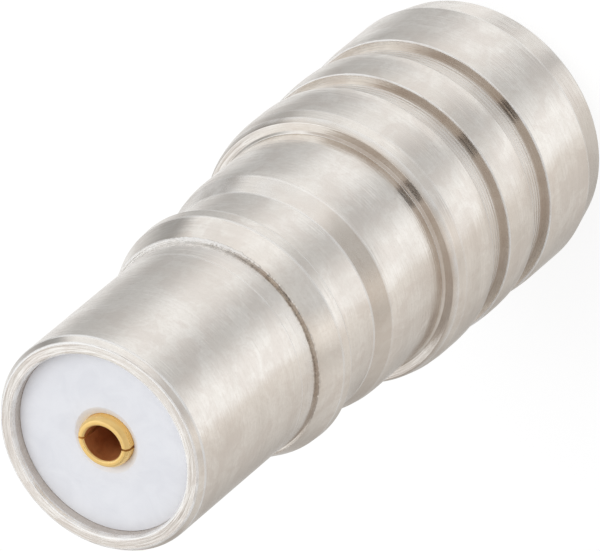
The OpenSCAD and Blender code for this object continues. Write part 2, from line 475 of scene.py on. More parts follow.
# %% [markdown]
# ## The rear cap
# The closed cap is pressed over the body. It has a small bead round its mouth, a
# flat front face, two eased rings with a grip groove behind each, a plain tail and
# a slightly tapered end. The groove floors get their tool lines, and each ring its
# one faint line. The floors are cut a touch deeper than drawn, and the edge of
# the ring behind each is a touch fuller.

# %% Find the cap's grooves and rings
cap_radius = cad_box[1][0]
ring_margin = 0.01 * MM
least_groove = 0.1 * MM
groove_floors = []
ring_tops = []
for i, (a, b) in enumerate(zip(cap_profile, cap_profile[1:])):
    if abs(a.x - b.x) > STRAIGHT or a.y < b.y:
        continue
    if abs(a.x - cap_radius) < ring_margin:
        ring_tops.append(i)
    elif cap_profile[i - 1].x > a.x + least_groove and a.y < cap_profile[ring_tops[0]].y:
        groove_floors.append(i)
print("grooves at", [round(cap_profile[i].y / MM, 2) for i in groove_floors])
print("rings at", [round(cap_profile[i].y / MM, 2) for i in ring_tops])

# %% Score the lines and sweep the cap
FLOOR_LINE_COUNT = 5
FIRST_FLOOR_LINE, FLOOR_LINE_STEP = 0.2, 0.13
FLOOR_LINES = tuple(FIRST_FLOOR_LINE + FLOOR_LINE_STEP * k for k in range(FLOOR_LINE_COUNT))
floor_line_depth = 0.004 * MM
floor_line_width = 0.07 * MM
RING_LINES = (0.6, 0.12)
ring_line_depth = 0.0008 * MM
ring_line_width = 0.03 * MM
floor_deeper = Vector((-0.02 * MM, 0.0))
edge_fuller = Vector((0.012 * MM, 0.0))

cap_corners = list(cap_profile)
for i in groove_floors:
    for k in (i, i + 1):
        cap_corners[k] = cap_profile[k] + floor_deeper
    cap_corners[i + 2] = cap_profile[i + 2] + edge_fuller
scores = {i: (FLOOR_LINES, floor_line_depth, floor_line_width) for i in groove_floors}
for i, place in zip(ring_tops, RING_LINES):
    scores[i] = ((place,), ring_line_depth, ring_line_width)
for i in sorted(scores, reverse=True):
    cap_corners = with_lines(cap_corners, i, *scores[i])

# Counted back from the first ring's top: the foot and the top of the lead chamfer,
# and before them the two corners of the mouth.
LEAD_FOOT, LEAD_TOP, MOUTH = ring_tops[0] - 2, ring_tops[0] - 3, ring_tops[0] - 5
mouth_corners = range(MOUTH, LEAD_TOP + 1)
cap_piece = turned("ribbed_cap", broken_edges(cap_corners, edge_break, mouth_corners))
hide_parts("rear_cap")
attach(cap_piece, "root")

# %% [markdown]
# ## Bands that were cut differently
# Some bands are duller than the rest: the flat faces, the grooves, the cap's lead
# chamfer and tapered end, and the front part of each ring were cut with a coarser
# feed. The ramp behind the catch groove is browner, and browner still on one side,
# which is painted shade. The bore in front of the bead is painted darker and
# browner. The dull attribute keeps that: every point between two heights and two
# radii gets one value.

# %% Helper that paints a dull band
def paint_dull(piece, value, low, high, least_radius=0.0, most_radius=math.inf):
    """Sets the dull attribute between two heights and two radii."""
    values = piece.data.attributes["dull"].data
    count = 0
    for v in piece.data.vertices:
        if low < v.co.z < high and least_radius < math.hypot(v.co.x, v.co.y) < most_radius:
            values[v.index].value = value
            count += 1
    print(piece.name, "has", count, "points at", value)


# %% Dull bands of the cap
DULL_RING = 0.1
DULL_TAPER = 0.1
DULL_LEAD = 0.45
DULL_FACE = 0.15
DULL_FLOOR = 0.35
DULL_WALL = 0.15
taper_depth = 0.2 * MM

for i, place in zip(ring_tops, RING_LINES):
    line, front = cap_profile[i].lerp(cap_profile[i + 1], place), cap_profile[i - 2]
    paint_dull(cap_piece, DULL_RING, line.y, front.y + edge_break, front.x - edge_break)
tail_end = cap_profile[ring_tops[-1] + 1]
paint_dull(cap_piece, DULL_TAPER, 0.0, tail_end.y - edge_break, tail_end.x - taper_depth)
lead_top, lead_foot = cap_profile[LEAD_TOP], cap_profile[LEAD_FOOT]
paint_dull(cap_piece, DULL_LEAD, lead_foot.y + STRAIGHT, lead_top.y - STRAIGHT, lead_top.x)
paint_dull(cap_piece, DULL_FACE, lead_top.y - STRAIGHT, lead_top.y + STRAIGHT)
for i in groove_floors:
    front, back = cap_profile[i], cap_profile[i + 1]
    paint_dull(cap_piece, DULL_FLOOR, back.y + STRAIGHT, front.y, front.x - 2 * edge_break, front.x)
    paint_dull(cap_piece, DULL_WALL, back.y - STRAIGHT, back.y + STRAIGHT, back.x - edge_break)

# %% Dull bands of the body
DULL_RAMP = 0.3
DULL_RIM = 0.3
DULL_BORE = 0.75
# Painted shade on one side of the ramp, added to its dull value.
RAMP_SIDE_SHADE = 0.4
RAMP_SHADE_SPAN = (5 / 6, 1.0)
rim_outer_half = 0.15 * MM

ramp_low, ramp_high = ramp_foot.y + edge_break, ramp_top.y - edge_break
paint_dull(body_piece, DULL_RAMP, ramp_low, ramp_high, ramp_top.x, ramp_foot.x)
# Painted shade, strongest on one side of the ramp.
ramp_shade_middle = level_direction(math.radians(28))
dull_values = body_piece.data.attributes["dull"].data
for v in body_piece.data.vertices:
    off_axis = math.hypot(v.co.x, v.co.y)
    if ramp_foot.y < v.co.z < ramp_top.y and off_axis > ramp_top.x:
        dull_values[v.index].value += RAMP_SIDE_SHADE * ramped(v.co.dot(ramp_shade_middle) / off_axis, *RAMP_SHADE_SPAN)
rim_middle = body_profile[RIM].x - rim_outer_half
paint_dull(body_piece, DULL_RIM, rim_height - STRAIGHT, rim_height + STRAIGHT, rim_middle)
bead_face = bead_profile[0].y
bore_high = rim_height - 2 * edge_break
# The bore in front of the bead is painted darker and browner.
paint_dull(body_piece, DULL_BORE, bead_face - LONGEST, bore_high, most_radius=rim_middle)

# %% [markdown]
# ## The centre contact
# The gold socket is a small tube with a slit across its mouth, which makes two
# spring fingers. Its seam ends where the slit begins, so the walls are carried
# on from there up to the top of the node's box, with a small lead at the mouth and
# a chamfer outside. The slit itself is cut with a Boolean modifier that is then
# applied, so that the exported mesh really has it. The fingers of a real socket
# are squeezed together after cutting, so that they grip: each point above the
# slit's end is moved towards the slit, most at the tip.

# %% Measure the contact
contact_profile = half_profile("centre_contact")
tip_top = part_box("centre_contact")[1].z
slit_floor = max(p.y for p in contact_profile)
socket_radius = min(p.x for p in contact_profile if p.y > slit_floor - STRAIGHT)
tube_radius = max(p.x for p in contact_profile if p.y > slit_floor - STRAIGHT)
contact_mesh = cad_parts["centre_contact"].data
slit_width = 2 * min(abs(v.co.y) for v in contact_mesh.vertices if v.co.z > slit_floor + STRAIGHT)
print("tube", round(tube_radius / MM, 3), "socket", round(socket_radius / MM, 3), "mm in radius")
print("slit", round(slit_width / MM, 3), "mm wide from", round(slit_floor / MM, 2))

# %% Turn the contact
CONTACT_STEPS = 120
mouth_lead = 0.03 * MM
tip_chamfer = Vector((0.05 * MM, 0.08 * MM))
tip_corners = [
    Vector((socket_radius, tip_top - mouth_lead)), Vector((socket_radius + mouth_lead, tip_top)),
    Vector((tube_radius - tip_chamfer.x, tip_top)), Vector((tube_radius, tip_top - tip_chamfer.y)),
]
upper = [i for i, p in enumerate(contact_profile) if p.y > slit_floor - STRAIGHT]
if contact_profile[upper[0]].x > contact_profile[upper[-1]].x:
    tip_corners.reverse()
contact_corners = contact_profile[: upper[0]] + tip_corners + contact_profile[upper[-1] + 1 :]
contact_piece = turned("gold_socket", broken_edges(contact_corners, edge_break), CONTACT_STEPS)

# %% Cut the slit
squeeze = 0.055 * MM
blade_over = 0.5 * MM
sharp_from = math.radians(50)
finger_length = tip_top - slit_floor

blade_size = (3 * tube_radius, slit_width + 2 * squeeze, finger_length + blade_over)
blade_middle = Vector((0.0, 0.0, slit_floor + blade_size[2] / 2))
blade_mesh = bpy.data.meshes.new("slit_blade")
cutter = bmesh.new()
bmesh.ops.create_cube(cutter, size=1.0, matrix=Matrix.LocRotScale(blade_middle, None, blade_size))
cutter.to_mesh(blade_mesh)
cutter.free()
blade = bpy.data.objects.new("slit_blade", blade_mesh)
bpy.context.collection.objects.link(blade)
cut = contact_piece.modifiers.new("slit", "BOOLEAN")
cut.operation = "DIFFERENCE"
cut.solver = "EXACT"
cut.object = blade
evaluated = contact_piece.evaluated_get(bpy.context.evaluated_depsgraph_get())
finished = bpy.data.meshes.new_from_object(evaluated)
contact_piece.modifiers.clear()
contact_piece.data = finished
finished.name = "gold_socket"
finished.set_sharp_from_angle(angle=sharp_from)
bpy.data.objects.remove(blade)
print("contact has", len(finished.polygons), "faces after the cut")

# %% Mark the inside and squeeze the fingers
brown_depth = 1 * MM


def squeezed_by(height):
    """How far a finger is moved towards the slit at a height: most at the tip."""
    reach = max(0.0, height - slit_floor) / finger_length
    return squeeze * reach**2


inside = finished.attributes.get("dull") or finished.attributes.new("dull", "FLOAT", "POINT")
for v in finished.vertices:
    in_socket = math.hypot(v.co.x, v.co.y) < socket_radius + STRAIGHT
    inside.data[v.index].value = float(in_socket and v.co.z > slit_floor - brown_depth)
for v in finished.vertices:
    v.co.y -= math.copysign(squeezed_by(v.co.z), v.co.y)
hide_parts("centre_contact")
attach(contact_piece, "root")
print("fingers squeezed by", round(squeezed_by(tip_top) / MM, 3), "mm at the tip")

# %% [markdown]
# ## The insulator
# A white bead holds the contact in the middle of the barrel. It is set back a
# little behind the rim. The soft plastic closes on the bore and on the contact,
# so its edge and its hole are drawn to within a hairline of both, and the hole
# follows the fingers where they are squeezed together. Around the contact the
# bead's face dips a little.

# %% Turn the bead
bead_break = 0.008 * MM
hairline = 0.002 * MM
dip_width, dip_depth = 0.13 * MM, 0.085 * MM
# A point of the hole may go this share of its way to the middle.
MOST_WAY = 0.8

bore_radius = body_profile[BORE_TOP].x
bead_corners = []
for p in bead_profile:
    if p.x > tube_radius + edge_break:
        bead_corners.append(Vector((bore_radius - hairline, p.y)))
    elif p.y < bead_face:
        bead_corners.append(Vector((tube_radius + hairline, p.y)))
    else:
        bead_corners.append(Vector((tube_radius + hairline, bead_face - dip_depth)))
        bead_corners.append(Vector((tube_radius + dip_width, bead_face)))
bead_piece = turned("white_bead", broken_edges(bead_corners, bead_break))
for v in bead_piece.data.vertices:
    if math.hypot(v.co.x, v.co.y) < tube_radius + edge_break:
        v.co.y -= math.copysign(min(squeezed_by(v.co.z), MOST_WAY * abs(v.co.y)), v.co.y)
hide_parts("insulator")
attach(bead_piece, "root")

# %% [markdown]
# ## Small helpers for node trees
# Node trees in code get long, so a few helpers keep them readable. One adds a node
# with its settings and plain input values. The others make the nodes that are
# needed most: a sum or product, a change of range, a mix of two colours, a group
# and its use, and the place of a point in millimetres.

# %% Helpers for single nodes
def add(tree, kind, settings=None, **values):
    """A node of that kind. Settings are its own properties, values its inputs."""
    node = tree.nodes.new(kind)
    for key, value in (settings or {}).items():
        setattr(node, key, value)
    for key, value in values.items():
        node.inputs[key.replace("_", " ")].default_value = value
    return node


def math_node(tree, operation, *terms):
    """A Math node: terms are numbers or sockets. Returns its output."""
    node = add(tree, "ShaderNodeMath", {"operation": operation})
    for socket, term in zip(node.inputs, terms):
        if isinstance(term, (int, float)):
            socket.default_value = term
        else:
            tree.links.new(term, socket)
    return node.outputs[0]


def ranged(tree, value, low, high, to_low=0.0, to_high=1.0, smooth=False):
    """A Map Range node on a socket, clamped. Returns its output."""
    node = add(tree, "ShaderNodeMapRange", {"interpolation_type": "SMOOTHSTEP" if smooth else "LINEAR"})
    for socket, number in zip(node.inputs[1:5], (low, high, to_low, to_high)):
        socket.default_value = number
    tree.links.new(value, node.inputs[0])
    return node.outputs[0]


def mixed(tree, factor, a, b):
    """A colour Mix node: a and b are colours or sockets. Returns its output."""
    node = add(tree, "ShaderNodeMix", {"data_type": "RGBA"})
    for socket, term in zip((node.inputs[0], node.inputs[6], node.inputs[7]), (factor, a, b)):
        if isinstance(term, (int, float)):
            socket.default_value = term
        elif isinstance(term, tuple):
            socket.default_value = (*term, 1.0)
        else:
            tree.links.new(term, socket)
    return node.outputs[2]


print("single nodes: add, math_node, ranged, mixed")


# %% Helpers for groups and places
def effect(name, inputs, outputs):
    """A shader node group with float inputs {name: default} and named outputs."""
    group = bpy.data.node_groups.new(name, "ShaderNodeTree")
    for key, value in inputs.items():
        socket = group.interface.new_socket(key, in_out="INPUT", socket_type="NodeSocketFloat")
        socket.default_value = value
    for key, kind in outputs.items():
        group.interface.new_socket(key, in_out="OUTPUT", socket_type=kind)
    return group, add(group, "NodeGroupInput"), add(group, "NodeGroupOutput")


def placed(tree, group, **values):
    """The group as a node in a tree, with its own values."""
    return add(tree, "ShaderNodeGroup", {"node_tree": group}, **values)


def place_in_mm(tree):
    """The point on the object in millimetres, as a vector socket."""
    coord = add(tree, "ShaderNodeTexCoord")
    scale = add(tree, "ShaderNodeVectorMath", {"operation": "SCALE"})
    scale.inputs["Scale"].default_value = 1 / MM
    tree.links.new(coord.outputs["Object"], scale.inputs[0])
    return scale.outputs[0]


print("groups and places: effect, placed, place_in_mm")

# %% [markdown]
# ## Effect: tool lines
# A lathe tool leaves lines that run round the axis. A noise texture gives them
# when its space is rolled up: one direction runs along the profile and is
# stretched many times, and the other two are the unit circle, which has no seam
# where the angle jumps.

# %% Tool lines group
# On a flat face only the radius changes, so a share of it is added to the height.
FACE_SHARE = 0.6
tool_lines, entry, leave = effect(
    "tool lines", {"Lines": 14.0, "Run": 1.0}, {"Height": "NodeSocketFloat", "Tone": "NodeSocketFloat"}
)
spot = place_in_mm(tool_lines)
flat = add(tool_lines, "ShaderNodeVectorMath", {"operation": "MULTIPLY"})
flat.inputs[1].default_value = (1.0, 1.0, 0.0)
tool_lines.links.new(spot, flat.inputs[0])
radius = add(tool_lines, "ShaderNodeVectorMath", {"operation": "LENGTH"})
tool_lines.links.new(flat.outputs[0], radius.inputs[0])
circle = add(tool_lines, "ShaderNodeVectorMath", {"operation": "NORMALIZE"})
tool_lines.links.new(flat.outputs[0], circle.inputs[0])
run = add(tool_lines, "ShaderNodeVectorMath", {"operation": "SCALE"})
tool_lines.links.new(circle.outputs[0], run.inputs[0])
tool_lines.links.new(entry.outputs["Run"], run.inputs["Scale"])
parts = add(tool_lines, "ShaderNodeSeparateXYZ")
tool_lines.links.new(spot, parts.inputs[0])
along = math_node(tool_lines, "MULTIPLY_ADD", radius.outputs["Value"], FACE_SHARE, parts.outputs["Z"])
along = math_node(tool_lines, "MULTIPLY", along, entry.outputs["Lines"])
lift = add(tool_lines, "ShaderNodeCombineXYZ")
tool_lines.links.new(along, lift.inputs["Z"])
rolled = add(tool_lines, "ShaderNodeVectorMath", {"operation": "ADD"})
tool_lines.links.new(run.outputs[0], rolled.inputs[0])
tool_lines.links.new(lift.outputs[0], rolled.inputs[1])
lines = add(tool_lines, "ShaderNodeTexNoise", Scale=1.0, Detail=2.0, Roughness=0.6)
tool_lines.links.new(rolled.outputs[0], lines.inputs["Vector"])
tool_lines.links.new(lines.outputs["Fac"], leave.inputs["Height"])
tool_lines.links.new(ranged(tool_lines, lines.outputs["Fac"], 0.3, 0.7), leave.inputs["Tone"])
print("tool lines:", len(tool_lines.nodes), "nodes")

# %% [markdown]
# ## Effect: mottled handling stains
# Plated brass that has been handled is never one colour. A noise that is pushed out
# of shape gives uneven patches, and the Softness input says how gently they end.

# %% Mottle group
MOTTLE_MIDDLE = 0.52
mottle, entry, leave = effect("mottle", {"Per mm": 0.7, "Softness": 0.2}, {"Mask": "NodeSocketFloat"})
spot = place_in_mm(mottle)
patches = add(mottle, "ShaderNodeTexNoise", Detail=5.0, Roughness=0.62, Distortion=0.6)
mottle.links.new(spot, patches.inputs["Vector"])
mottle.links.new(entry.outputs["Per mm"], patches.inputs["Scale"])
low = math_node(mottle, "SUBTRACT", MOTTLE_MIDDLE, entry.outputs["Softness"])
high = math_node(mottle, "ADD", MOTTLE_MIDDLE, entry.outputs["Softness"])
stretch = add(mottle, "ShaderNodeMapRange", {"interpolation_type": "SMOOTHSTEP"})
mottle.links.new(patches.outputs["Fac"], stretch.inputs[0])
mottle.links.new(low, stretch.inputs[1])
mottle.links.new(high, stretch.inputs[2])
mottle.links.new(stretch.outputs[0], leave.inputs["Mask"])
print("mottle:", len(mottle.nodes), "nodes")

# %% [markdown]
# ## Effect: bright edges and painted corner shade
# The meshes carry an edge value on every corner that catches light, a recess value
# on every sharp inward one, and a value that fades out around that. Each is broken
# up with noise, so that a polished edge comes and goes, and the painted shade in a
# corner is uneven.

# %% Edge and corner groups
# The edge mask carries worn edges and painted highlights.
edge_wear_and_highlight, entry, leave = effect("edge wear and highlight", {"Amount": 0.8}, {"Mask": "NodeSocketFloat"})
value = add(edge_wear_and_highlight, "ShaderNodeAttribute", {"attribute_name": "edge"})
worn = add(edge_wear_and_highlight, "ShaderNodeTexNoise", Scale=2.5, Detail=3.0)
edge_wear_and_highlight.links.new(place_in_mm(edge_wear_and_highlight), worn.inputs["Vector"])
uneven = ranged(edge_wear_and_highlight, worn.outputs["Fac"], 0.3, 0.6, 0.4, 1.0)
broken = math_node(edge_wear_and_highlight, "MULTIPLY", value.outputs["Fac"], uneven)
mask = math_node(edge_wear_and_highlight, "MULTIPLY", broken, entry.outputs["Amount"])
edge_wear_and_highlight.links.new(mask, leave.inputs["Mask"])

# Masks of painted shade: in sharp inward corners, and fading out around them.
corner_shade, entry, leave = effect(
    "corner shade", {"Amount": 0.8}, {"Mask": "NodeSocketFloat", "Shade fade": "NodeSocketFloat"}
)
caught = add(corner_shade, "ShaderNodeTexNoise", Scale=1.6, Detail=4.0)
corner_shade.links.new(place_in_mm(corner_shade), caught.inputs["Vector"])
uneven = ranged(corner_shade, caught.outputs["Fac"], 0.35, 0.65, 0.2, 1.0)
for attribute, output in (("recess", "Mask"), ("haze", "Shade fade")):
    value = add(corner_shade, "ShaderNodeAttribute", {"attribute_name": attribute})
    broken = math_node(corner_shade, "MULTIPLY", value.outputs["Fac"], uneven)
    mask = math_node(corner_shade, "MULTIPLY", broken, entry.outputs["Amount"])
    corner_shade.links.new(mask, leave.inputs[output])
print("edge wear and highlight:", len(edge_wear_and_highlight.nodes), "nodes, corner shade:", len(corner_shade.nodes), "nodes")

# %% [markdown]
# ## Finish: plated brass
# The plating is a warm white metal. Tool lines tilt its surface a little, which
# is why the light bands on the barrel have brushed ends. Stains are slightly
# browner and rougher, and sharp inward corners are darkened with painted shade.
# Worn edges are so finely scratched that they scatter light in all directions, so
# they are made less metallic and catch the lamps wherever they are. The same edge
# value also carries painted highlights: on the burr's thick side, on the ramp on
# that side and in front of the shoulder.

# %% A material to start from
def finish(name):
    """A new node material. Returns it with its tree and its Principled shader."""
    material = bpy.data.materials.new(name)
    material.use_nodes = True
    return material, material.node_tree, material.node_tree.nodes["Principled BSDF"]


def bumped(tree, shader, height, distance):
    """Joins a height to the shader's normal through a Bump node."""
    bump = add(tree, "ShaderNodeBump", Strength=1.0, Distance=distance)
    tree.links.new(height, bump.inputs["Height"])
    tree.links.new(bump.outputs["Normal"], shader.inputs["Normal"])


print("finishes start from a Principled shader")

# %% Effects on the plated brass
plated, tree, shader = finish("plated_brass_finish")
shader.inputs["Anisotropic"].default_value = 0.85
shader.inputs["Anisotropic Rotation"].default_value = 0.25
lines_node = placed(tree, tool_lines, Lines=16.0, Run=1.1)
brush_node = placed(tree, tool_lines, Lines=26.0, Run=3.5)
stain_node = placed(tree, mottle, Per_mm=0.75, Softness=0.16)
dull_value = add(tree, "ShaderNodeAttribute", {"attribute_name": "dull"}).outputs["Fac"]
blush_node = placed(tree, mottle, Per_mm=1.5, Softness=0.08)
grain_node = placed(tree, mottle, Per_mm=10.0, Softness=0.1)
edge_node = placed(tree, edge_wear_and_highlight, Amount=1.0)
# Painted shade in and around sharp inward corners.
corner_shade_node = placed(tree, corner_shade, Amount=0.3)
print("plated brass uses", len([n for n in tree.nodes if n.type == "GROUP"]), "groups")

# %% Colour of the plated brass
PLATE_CLEAN = (0.955, 0.935, 0.905)
PLATE_STAINED = (0.77, 0.73, 0.685)
PLATE_BLUSH = (0.79, 0.73, 0.69)
# Painted shade, fading out from sharp inward corners.
PLATE_SHADE_FADE = (0.66, 0.57, 0.45)
PLATE_DULL = (0.56, 0.49, 0.42)
# Worn edges, and the painted highlights that share their edge value.
PLATE_EDGE = (0.97, 0.96, 0.94)
# Painted shade in sharp inward corners and on the burr's shaded side.
PLATE_CORNER_SHADE = (0.42, 0.36, 0.30)
STAIN_SHARE = 0.5
BLUSH_SHARE = 0.5
STREAK_SHARE = 0.3
GRAIN_SHARE = 0.25

stain = math_node(tree, "MULTIPLY", stain_node.outputs["Mask"], STAIN_SHARE)
blush = math_node(tree, "MULTIPLY", blush_node.outputs["Mask"], BLUSH_SHARE)
tone = mixed(tree, stain, PLATE_CLEAN, PLATE_STAINED)
tone = mixed(tree, blush, tone, PLATE_BLUSH)
# Painted shade: browner and darker near sharp inward corners.
tone = mixed(tree, corner_shade_node.outputs["Shade fade"], tone, PLATE_SHADE_FADE)
tone = mixed(tree, dull_value, tone, PLATE_DULL)
brushed = math_node(tree, "ADD", lines_node.outputs["Tone"], brush_node.outputs["Tone"])
streak = ranged(tree, brushed, 0.4, 1.8, 0.0, STREAK_SHARE)
grain = math_node(tree, "MULTIPLY", grain_node.outputs["Mask"], GRAIN_SHARE)
for part in (streak, grain):
    tone = mixed(tree, part, tone, PLATE_STAINED)
# Painted shade in the corners, then worn edges and painted highlights.
tone = mixed(tree, corner_shade_node.outputs["Mask"], tone, PLATE_CORNER_SHADE)
tone = mixed(tree, edge_node.outputs["Mask"], tone, PLATE_EDGE)
tree.links.new(tone, shader.inputs["Base Color"])
print("plated brass: colour from", len(tree.nodes), "nodes")

# %% Shine of the plated brass
EDGE_METALLIC = 0.15
PLATE_ROUGH = 0.1
LINE_ROUGH = 0.05
STAIN_ROUGH = 0.12
DULL_ROUGH = 0.15
plate_bump = 0.004 * MM

metallic = ranged(tree, edge_node.outputs["Mask"], 0.0, 1.0, 1.0, EDGE_METALLIC)
tree.links.new(metallic, shader.inputs["Metallic"])
rough = math_node(tree, "MULTIPLY_ADD", lines_node.outputs["Tone"], LINE_ROUGH, PLATE_ROUGH)
rough = math_node(tree, "MULTIPLY_ADD", stain, STAIN_ROUGH, rough)
rough = math_node(tree, "MULTIPLY_ADD", dull_value, DULL_ROUGH, rough)
tree.links.new(rough, shader.inputs["Roughness"])
relief = math_node(tree, "ADD", lines_node.outputs["Height"], brush_node.outputs["Height"])
bumped(tree, shader, relief, plate_bump)
for piece in (body_piece, burr_piece, cap_piece):
    piece.data.materials.append(plated)
print("plated brass:", len(tree.nodes), "nodes")

# %% [markdown]
# ## Finish: white bead
# The bead is cut from a soft white plastic. It is matt, faintly blue and a
# little cloudy, with shallow tool lines on its face.

# %% White bead
BEAD_WHITE = (0.945, 0.96, 1.0)
BEAD_CLOUD = (0.885, 0.90, 0.945)
# Painted shade in the bead's sharp inward corners.
BEAD_CORNER_SHADE = (0.5, 0.5, 0.53)
BEAD_ROUGH = (0.5, 0.62)
bead_bump = 0.004 * MM

bead_finish, tree, shader = finish("white_bead_finish")
cloud_node = placed(tree, mottle, Per_mm=1.5, Softness=0.2)
lines_node = placed(tree, tool_lines, Lines=9.0, Run=0.8)
corner_shade_node = placed(tree, corner_shade, Amount=0.3)
tone = mixed(tree, cloud_node.outputs["Mask"], BEAD_WHITE, BEAD_CLOUD)
# Painted shade in the corners.
tone = mixed(tree, corner_shade_node.outputs["Mask"], tone, BEAD_CORNER_SHADE)
tree.links.new(tone, shader.inputs["Base Color"])
rough = ranged(tree, lines_node.outputs["Tone"], 0.0, 1.0, *BEAD_ROUGH)
tree.links.new(rough, shader.inputs["Roughness"])
bumped(tree, shader, lines_node.outputs["Height"], bead_bump)
bead_piece.data.materials.append(bead_finish)
print("white bead:", len(tree.nodes), "nodes")

# %% [markdown]
# ## Finish: gold plate
# The contact is plated with a rich yellow gold. Inside the socket it is painted
# brown and duller: the points in there carry a dull value that takes the shine
# away.

# %% Gold plate
GOLD_CLEAN = (0.98, 0.67, 0.24)
GOLD_STAINED = (0.95, 0.61, 0.19)
GOLD_EDGE = (1.0, 0.74, 0.33)
SOCKET_BROWN = (0.68, 0.28, 0.10)
SOCKET_DARK = (0.50, 0.17, 0.05)
# Two values each: metallic outside and in the socket, and rough between and on the lines.
GOLD_METALLIC = (0.6, 0.25)
GOLD_ROUGH = (0.24, 0.36)
SOCKET_ROUGH = 0.3
gold_bump = 0.003 * MM

gold, tree, shader = finish("gold_plate_finish")
lines_node = placed(tree, tool_lines, Lines=12.0, Run=0.9)
stain_node = placed(tree, mottle, Per_mm=2.5, Softness=0.2)
edge_node = placed(tree, edge_wear_and_highlight, Amount=0.6)
tone = mixed(tree, stain_node.outputs["Mask"], GOLD_CLEAN, GOLD_STAINED)
tone = mixed(tree, edge_node.outputs["Mask"], tone, GOLD_EDGE)
deep_value = add(tree, "ShaderNodeAttribute", {"attribute_name": "dull"}).outputs["Fac"]
deep_tone = mixed(tree, stain_node.outputs["Mask"], SOCKET_BROWN, SOCKET_DARK)
tone = mixed(tree, deep_value, tone, deep_tone)
tree.links.new(tone, shader.inputs["Base Color"])
tree.links.new(ranged(tree, deep_value, 0.0, 1.0, *GOLD_METALLIC), shader.inputs["Metallic"])
rough = ranged(tree, lines_node.outputs["Tone"], 0.0, 1.0, *GOLD_ROUGH)
rough = math_node(tree, "MULTIPLY_ADD", deep_value, SOCKET_ROUGH, rough)
tree.links.new(rough, shader.inputs["Roughness"])
bumped(tree, shader, lines_node.outputs["Height"], gold_bump)
contact_piece.data.materials.clear()
contact_piece.data.materials.append(gold)
print("gold plate:", len(tree.nodes), "nodes")

# %% [markdown]
# ## Finishes of the hidden pieces
# The resistor rod and its two metal cups are inside and keep their CAD meshes.
# They still get a proper finish, because the part may be shown in section: a
# dark film with spiral-like lines on the rod, and dull tin on the cups.

# %% Film
FILM_DARK = (0.10, 0.075, 0.055)
FILM_WORN = (0.16, 0.12, 0.09)
FILM_LINE = (0.22, 0.18, 0.14)
FILM_LINE_SHARE = 0.3
FILM_ROUGH = (0.45, 0.6)
film_bump = 0.005 * MM

film, tree, shader = finish("film_ceramic_finish")
lines_node = placed(tree, tool_lines, Lines=5.0, Run=0.4)
stain_node = placed(tree, mottle, Per_mm=1.5, Softness=0.25)
tone = mixed(tree, stain_node.outputs["Mask"], FILM_DARK, FILM_WORN)
spiral = math_node(tree, "MULTIPLY", lines_node.outputs["Tone"], FILM_LINE_SHARE)
tone = mixed(tree, spiral, tone, FILM_LINE)
tree.links.new(tone, shader.inputs["Base Color"])
rough = ranged(tree, stain_node.outputs["Mask"], 0.0, 1.0, *FILM_ROUGH)
tree.links.new(rough, shader.inputs["Roughness"])
bumped(tree, shader, lines_node.outputs["Height"], film_bump)
print("film:", len(tree.nodes), "nodes")

# %% Tin
TIN_CLEAN = (0.72, 0.72, 0.73)
TIN_STAINED = (0.60, 0.59, 0.58)
TIN_ROUGH = (0.38, 0.5)
tin_bump = 0.004 * MM

tin, tree, shader = finish("tinned_brass_finish")
shader.inputs["Metallic"].default_value = 1.0
stain_node = placed(tree, mottle, Per_mm=1.2, Softness=0.25)
lines_node = placed(tree, tool_lines, Lines=10.0, Run=1.0)
tone = mixed(tree, stain_node.outputs["Mask"], TIN_CLEAN, TIN_STAINED)
tree.links.new(tone, shader.inputs["Base Color"])
rough = ranged(tree, stain_node.outputs["Mask"], 0.0, 1.0, *TIN_ROUGH)
tree.links.new(rough, shader.inputs["Roughness"])
bumped(tree, shader, lines_node.outputs["Height"], tin_bump)
for node, material in (("resistor_rod", film), ("front_ferrule", tin), ("rear_ferrule", tin)):
    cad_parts[node].material_slots[0].material = material
    print(node, "is finished in", material.name)

# %% [markdown]
# ## The light tent
# Bright metal is photographed in a tent of white paper, and what the metal shows
# is the paper: its lit panels, its shaded folds, and one dark slot where the
# camera looks in. Real panels and lamps would do, but each would have to be
# placed by trial. Here three colour ramps give the paper's tone by compass
# direction, for paper below, at eye level and overhead, and the world shows them
# to mirror rays only.

# %% Tone of the paper in each direction
VIEW_AZIMUTH = 48.0
VIEW_ELEVATION = 48.6
PAPER_PLAIN = (1.0, 0.988, 0.97)
PAPER_WARM = (1.0, 0.945, 0.885)
PAPER_BROWN = (1.0, 0.90, 0.82)
PAPER_COOL = (0.97, 0.985, 1.0)
PAPERS = (PAPER_PLAIN, PAPER_WARM, PAPER_BROWN, PAPER_COOL)

# Each stop is degrees clockwise from the camera, tone, and the number of its paper.
LOW_PAPER = (
    (-172, 0.98, 0), (-144, 0.80, 0), (-130, 0.60, 0), (-118, 0.51, 0), (-96, 0.555, 0), (-84, 0.62, 0),
    (-62, 0.89, 0), (-48, 0.93, 0), (-36, 0.87, 0), (-20, 0.65, 0), (-10, 0.585, 0), (0, 0.62, 0),
    (14, 0.81, 0), (28, 1.0, 0), (52, 1.0, 0), (60, 0.81, 1), (84, 0.70, 1), (120, 0.61, 1),
    (146, 0.48, 1), (160, 0.52, 1), (172, 0.66, 0),
)
LEVEL_PAPER = (
    (-165, 0.72, 0), (-132, 0.54, 0), (-118, 0.37, 0), (-106, 0.38, 0), (-92, 0.92, 0),
    (-70, 0.92, 0), (-50, 1.0, 0), (-26, 1.0, 0), (-9, 0.71, 0), (0, 0.66, 0), (24, 0.65, 0),
    (42, 0.88, 1), (50, 0.84, 1), (62, 0.66, 1), (80, 0.72, 1), (117, 0.57, 1), (140, 0.46, 1),
    (180, 0.56, 1),
)
